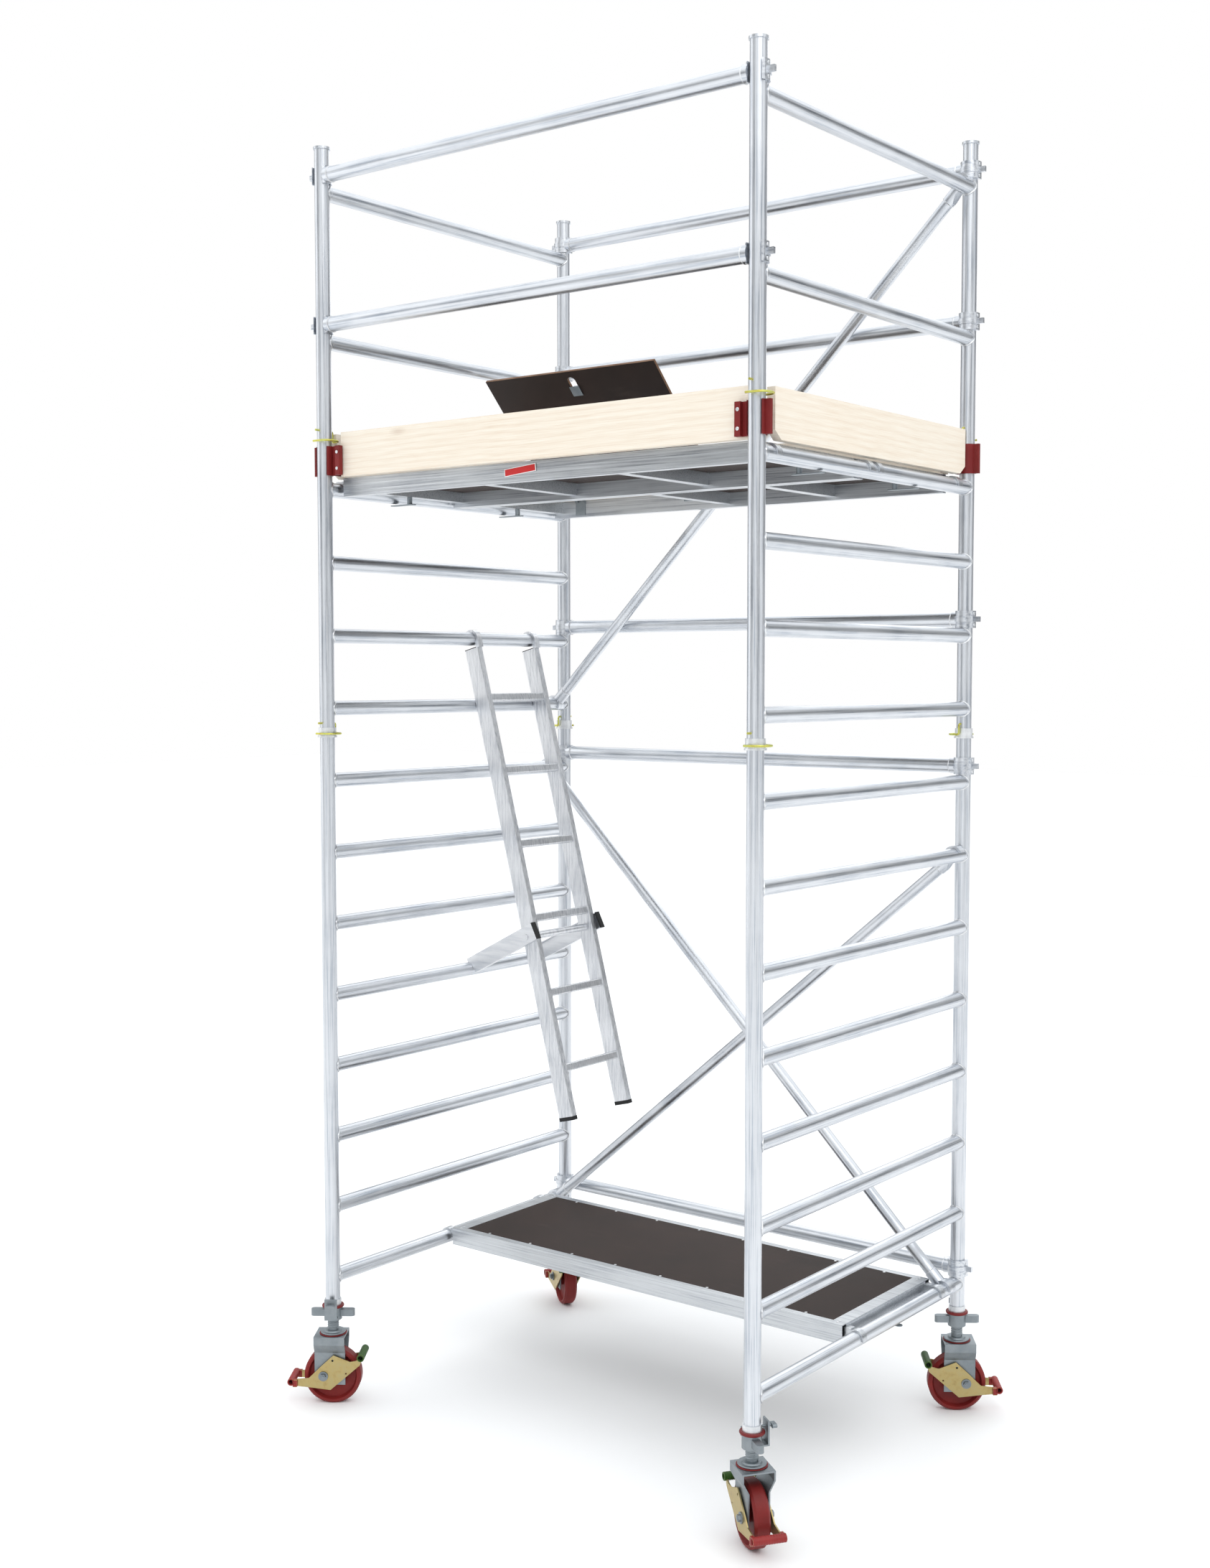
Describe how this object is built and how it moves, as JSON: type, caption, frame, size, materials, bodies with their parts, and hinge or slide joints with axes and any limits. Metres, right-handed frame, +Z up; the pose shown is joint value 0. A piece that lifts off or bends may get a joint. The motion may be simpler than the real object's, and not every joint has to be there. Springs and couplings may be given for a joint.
{
  "type": "mobile tower scaffold",
  "caption": "Rolling access tower of round aluminium end frames, braces, guard rails, decks with a hinged hatch, an inner ladder, toe boards and height-adjustable braked casters.",
  "frame": {"origin": "on the ground under the middle of the tower, the middle of its bounding box", "axes": "+X along the tower, +Y across it towards the braced side, +Z up"},
  "size_m": [2.0862, 1.5526, 4.35],
  "materials": {
    "aluminium_tube": "mill finish, drawn tube",
    "cast_aluminium": "satin cast",
    "red_plastic": "dark red moulding",
    "deck_aluminium": "mill finish, extruded",
    "faced_plywood": "dark film-faced plywood with a mesh grip",
    "zinc_plated_steel": "dull zinc plate",
    "ladder_aluminium": "ribbed extrusion",
    "black_plastic": "moulded",
    "spruce_board": "planed pale spruce",
    "yellow_zinc_steel": "yellow chromate",
    "red_wheel": "dark red moulded wheel"
  },
  "bodies": {
    "tower": {"lower_frame_left": "aluminium_tube", "lower_frame_right": "aluminium_tube", "middle_frame_left": "aluminium_tube", "middle_frame_right": "aluminium_tube", "guard_frame_left": "aluminium_tube", "guard_frame_right": "aluminium_tube", "post_collars": "cast_aluminium", "joint_spigots": "cast_aluminium", "foot_rings": "red_plastic", "front_guard_rails": "aluminium_tube", "back_guard_rails": "aluminium_tube", "horizontal_braces": "aluminium_tube", "diagonal_braces": "aluminium_tube", "front_deck_frame": "deck_aluminium", "back_deck_frame": "deck_aluminium", "lower_deck_frame": "deck_aluminium", "deck_panels": "faced_plywood", "hatch_hinges": "zinc_plated_steel", "toe_boards": "spruce_board", "toe_board_brackets": "red_plastic"},
    "hatch": {"hatch_leaf": "faced_plywood"},
    "hatch_latch": {"hatch_latch": "zinc_plated_steel"},
    "ladder": {"ladder_frame": "ladder_aluminium", "ladder_caps": "black_plastic"},
    "strut": {"ladder_strut": "ladder_aluminium", "strut_caps": "black_plastic"},
    "front_deck_wind_lock_left": {"front_deck_wind_lock_left": "zinc_plated_steel"},
    "front_deck_wind_lock_right": {"front_deck_wind_lock_right": "zinc_plated_steel"},
    "back_deck_wind_lock_left": {"back_deck_wind_lock_left": "zinc_plated_steel"},
    "back_deck_wind_lock_right": {"back_deck_wind_lock_right": "zinc_plated_steel"},
    "lower_deck_wind_lock_left": {"lower_deck_wind_lock_left": "zinc_plated_steel"},
    "lower_deck_wind_lock_right": {"lower_deck_wind_lock_right": "zinc_plated_steel"},
    "lock_clip_lower_front_left": {"lock_clip_lower_front_left": "yellow_zinc_steel"},
    "lock_clip_lower_front_right": {"lock_clip_lower_front_right": "yellow_zinc_steel"},
    "lock_clip_lower_back_left": {"lock_clip_lower_back_left": "yellow_zinc_steel"},
    "lock_clip_lower_back_right": {"lock_clip_lower_back_right": "yellow_zinc_steel"},
    "lock_clip_upper_front_left": {"lock_clip_upper_front_left": "yellow_zinc_steel"},
    "lock_clip_upper_front_right": {"lock_clip_upper_front_right": "yellow_zinc_steel"},
    "lock_clip_upper_back_left": {"lock_clip_upper_back_left": "yellow_zinc_steel"},
    "lock_clip_upper_back_right": {"lock_clip_upper_back_right": "yellow_zinc_steel"},
    "spindle_front_left": {"caster_spindle_front_left": "zinc_plated_steel"},
    "wing_nut_front_left": {"caster_wing_nut_front_left": "zinc_plated_steel"},
    "fork_front_left": {"caster_fork_front_left": "zinc_plated_steel"},
    "wheel_front_left": {"caster_wheel_front_left": "red_wheel"},
    "brake_front_left": {"caster_brake_front_left": "yellow_zinc_steel"},
    "spindle_front_right": {"caster_spindle_front_right": "zinc_plated_steel"},
    "wing_nut_front_right": {"caster_wing_nut_front_right": "zinc_plated_steel"},
    "fork_front_right": {"caster_fork_front_right": "zinc_plated_steel"},
    "wheel_front_right": {"caster_wheel_front_right": "red_wheel"},
    "brake_front_right": {"caster_brake_front_right": "yellow_zinc_steel"},
    "spindle_back_left": {"caster_spindle_back_left": "zinc_plated_steel"},
    "wing_nut_back_left": {"caster_wing_nut_back_left": "zinc_plated_steel"},
    "fork_back_left": {"caster_fork_back_left": "zinc_plated_steel"},
    "wheel_back_left": {"caster_wheel_back_left": "red_wheel"},
    "brake_back_left": {"caster_brake_back_left": "yellow_zinc_steel"},
    "spindle_back_right": {"caster_spindle_back_right": "zinc_plated_steel"},
    "wing_nut_back_right": {"caster_wing_nut_back_right": "zinc_plated_steel"},
    "fork_back_right": {"caster_fork_back_right": "zinc_plated_steel"},
    "wheel_back_right": {"caster_wheel_back_right": "red_wheel"},
    "brake_back_right": {"caster_brake_back_right": "yellow_zinc_steel"}
  },
  "joints": [
    {"name": "hatch_hinge", "type": "hinge", "parent": "tower", "child": "hatch", "pos_m": [-0.4485, 0.531, 3.2453], "axis": [-1, 0, 0], "range_deg": [-46, 44]},
    {"name": "hatch_latch_slide", "type": "slide", "parent": "hatch", "child": "hatch_latch", "axis": [0, 0.6947, -0.7193], "range_m": [0, 0.012]},
    {"name": "ladder_swing", "type": "hinge", "parent": "tower", "child": "ladder", "pos_m": [-0.8875, 0.267, 2.7], "axis": [0, -1, 0], "range_deg": [0, 30]},
    {"name": "strut_pivot", "type": "hinge", "parent": "ladder", "child": "strut", "pos_m": [-0.59968, 0.267, 1.59692], "axis": [0, 1, 0], "range_deg": [0, 30]},
    {"name": "front_deck_wind_lock_left_turn", "type": "hinge", "parent": "tower", "child": "front_deck_wind_lock_left", "pos_m": [-0.815, -0.3045, 3.18], "axis": [0, 0, 1], "range_deg": [0, 90]},
    {"name": "front_deck_wind_lock_right_turn", "type": "hinge", "parent": "tower", "child": "front_deck_wind_lock_right", "pos_m": [0.815, -0.3045, 3.18], "axis": [0, 0, 1], "range_deg": [0, 90]},
    {"name": "back_deck_wind_lock_left_turn", "type": "hinge", "parent": "tower", "child": "back_deck_wind_lock_left", "pos_m": [-0.815, 0.2785, 3.18], "axis": [0, 0, 1], "range_deg": [0, 90]},
    {"name": "back_deck_wind_lock_right_turn", "type": "hinge", "parent": "tower", "child": "back_deck_wind_lock_right", "pos_m": [0.815, 0.2785, 3.18], "axis": [0, 0, 1], "range_deg": [0, 90]},
    {"name": "lower_deck_wind_lock_left_turn", "type": "hinge", "parent": "tower", "child": "lower_deck_wind_lock_left", "pos_m": [-0.815, 0.221, 0.43], "axis": [0, 0, 1], "range_deg": [0, 90]},
    {"name": "lower_deck_wind_lock_right_turn", "type": "hinge", "parent": "tower", "child": "lower_deck_wind_lock_right", "pos_m": [0.815, 0.221, 0.43], "axis": [0, 0, 1], "range_deg": [0, 90]},
    {"name": "lock_clip_lower_front_left_swing", "type": "hinge", "parent": "tower", "child": "lock_clip_lower_front_left", "pos_m": [-0.8875, -0.6435, 2.399], "axis": [0, -1, 0], "range_deg": [0, 90]},
    {"name": "lock_clip_lower_front_right_swing", "type": "hinge", "parent": "tower", "child": "lock_clip_lower_front_right", "pos_m": [0.8875, -0.6435, 2.399], "axis": [0, -1, 0], "range_deg": [0, 90]},
    {"name": "lock_clip_lower_back_left_swing", "type": "hinge", "parent": "tower", "child": "lock_clip_lower_back_left", "pos_m": [-0.8875, 0.6435, 2.399], "axis": [0, 1, 0], "range_deg": [0, 90]},
    {"name": "lock_clip_lower_back_right_swing", "type": "hinge", "parent": "tower", "child": "lock_clip_lower_back_right", "pos_m": [0.8875, 0.6435, 2.399], "axis": [0, 1, 0], "range_deg": [0, 90]},
    {"name": "lock_clip_upper_front_left_swing", "type": "hinge", "parent": "tower", "child": "lock_clip_upper_front_left", "pos_m": [-0.8875, -0.6435, 3.399], "axis": [0, -1, 0], "range_deg": [0, 90]},
    {"name": "lock_clip_upper_front_right_swing", "type": "hinge", "parent": "tower", "child": "lock_clip_upper_front_right", "pos_m": [0.8875, -0.6435, 3.399], "axis": [0, -1, 0], "range_deg": [0, 90]},
    {"name": "lock_clip_upper_back_left_swing", "type": "hinge", "parent": "tower", "child": "lock_clip_upper_back_left", "pos_m": [-0.8875, 0.6435, 3.399], "axis": [0, 1, 0], "range_deg": [0, 90]},
    {"name": "lock_clip_upper_back_right_swing", "type": "hinge", "parent": "tower", "child": "lock_clip_upper_back_right", "pos_m": [0.8875, 0.6435, 3.399], "axis": [0, 1, 0], "range_deg": [0, 90]},
    {"name": "height_front_left", "type": "slide", "parent": "tower", "child": "spindle_front_left", "axis": [0, 0, -1], "range_m": [-0.03, 0.25]},
    {"name": "wing_nut_turn_front_left", "type": "hinge", "parent": "tower", "child": "wing_nut_front_left", "pos_m": [-0.8875, -0.6435, 0.32], "axis": [0, 0, 1], "continuous": true},
    {"name": "swivel_front_left", "type": "hinge", "parent": "spindle_front_left", "child": "fork_front_left", "pos_m": [-0.8875, -0.6435, 0.24], "axis": [0, 0, 1], "continuous": true},
    {"name": "wheel_spin_front_left", "type": "hinge", "parent": "fork_front_left", "child": "wheel_front_left", "pos_m": [-0.8875, -0.6435, 0.1], "axis": [0.587, -0.8096, 0], "continuous": true},
    {"name": "brake_rock_front_left", "type": "hinge", "parent": "fork_front_left", "child": "brake_front_left", "pos_m": [-0.91098, -0.66052, 0.104], "axis": [-0.587, 0.8096, 0], "range_deg": [0, 20]},
    {"name": "height_front_right", "type": "slide", "parent": "tower", "child": "spindle_front_right", "axis": [0, 0, -1], "range_m": [-0.03, 0.25]},
    {"name": "wing_nut_turn_front_right", "type": "hinge", "parent": "tower", "child": "wing_nut_front_right", "pos_m": [0.8875, -0.6435, 0.32], "axis": [0, 0, 1], "continuous": true},
    {"name": "swivel_front_right", "type": "hinge", "parent": "spindle_front_right", "child": "fork_front_right", "pos_m": [0.8875, -0.6435, 0.24], "axis": [0, 0, 1], "continuous": true},
    {"name": "wheel_spin_front_right", "type": "hinge", "parent": "fork_front_right", "child": "wheel_front_right", "pos_m": [0.8875, -0.6435, 0.1], "axis": [0.587, 0.8096, 0], "continuous": true},
    {"name": "brake_rock_front_right", "type": "hinge", "parent": "fork_front_right", "child": "brake_front_right", "pos_m": [0.91098, -0.66052, 0.104], "axis": [-0.587, -0.8096, 0], "range_deg": [0, 20]},
    {"name": "height_back_left", "type": "slide", "parent": "tower", "child": "spindle_back_left", "axis": [0, 0, -1], "range_m": [-0.03, 0.25]},
    {"name": "wing_nut_turn_back_left", "type": "hinge", "parent": "tower", "child": "wing_nut_back_left", "pos_m": [-0.8875, 0.6435, 0.32], "axis": [0, 0, 1], "continuous": true},
    {"name": "swivel_back_left", "type": "hinge", "parent": "spindle_back_left", "child": "fork_back_left", "pos_m": [-0.8875, 0.6435, 0.24], "axis": [0, 0, 1], "continuous": true},
    {"name": "wheel_spin_back_left", "type": "hinge", "parent": "fork_back_left", "child": "wheel_back_left", "pos_m": [-0.8875, 0.6435, 0.1], "axis": [-0.587, -0.8096, 0], "continuous": true},
    {"name": "brake_rock_back_left", "type": "hinge", "parent": "fork_back_left", "child": "brake_back_left", "pos_m": [-0.91098, 0.66052, 0.104], "axis": [0.587, 0.8096, 0], "range_deg": [0, 20]},
    {"name": "height_back_right", "type": "slide", "parent": "tower", "child": "spindle_back_right", "axis": [0, 0, -1], "range_m": [-0.03, 0.25]},
    {"name": "wing_nut_turn_back_right", "type": "hinge", "parent": "tower", "child": "wing_nut_back_right", "pos_m": [0.8875, 0.6435, 0.32], "axis": [0, 0, 1], "continuous": true},
    {"name": "swivel_back_right", "type": "hinge", "parent": "spindle_back_right", "child": "fork_back_right", "pos_m": [0.8875, 0.6435, 0.24], "axis": [0, 0, 1], "continuous": true},
    {"name": "wheel_spin_back_right", "type": "hinge", "parent": "fork_back_right", "child": "wheel_back_right", "pos_m": [0.8875, 0.6435, 0.1], "axis": [-0.587, 0.8096, 0], "continuous": true},
    {"name": "brake_rock_back_right", "type": "hinge", "parent": "fork_back_right", "child": "brake_back_right", "pos_m": [0.91098, 0.66052, 0.104], "axis": [0.587, -0.8096, 0], "range_deg": [0, 20]}
  ],
  "couplings": [
    {"joint": "wing_nut_turn_front_left", "follows": "height_front_left", "rad_per_m": 785.4},
    {"joint": "wing_nut_turn_front_right", "follows": "height_front_right", "rad_per_m": 785.4},
    {"joint": "wing_nut_turn_back_left", "follows": "height_back_left", "rad_per_m": 785.4},
    {"joint": "wing_nut_turn_back_right", "follows": "height_back_right", "rad_per_m": 785.4}
  ]
}
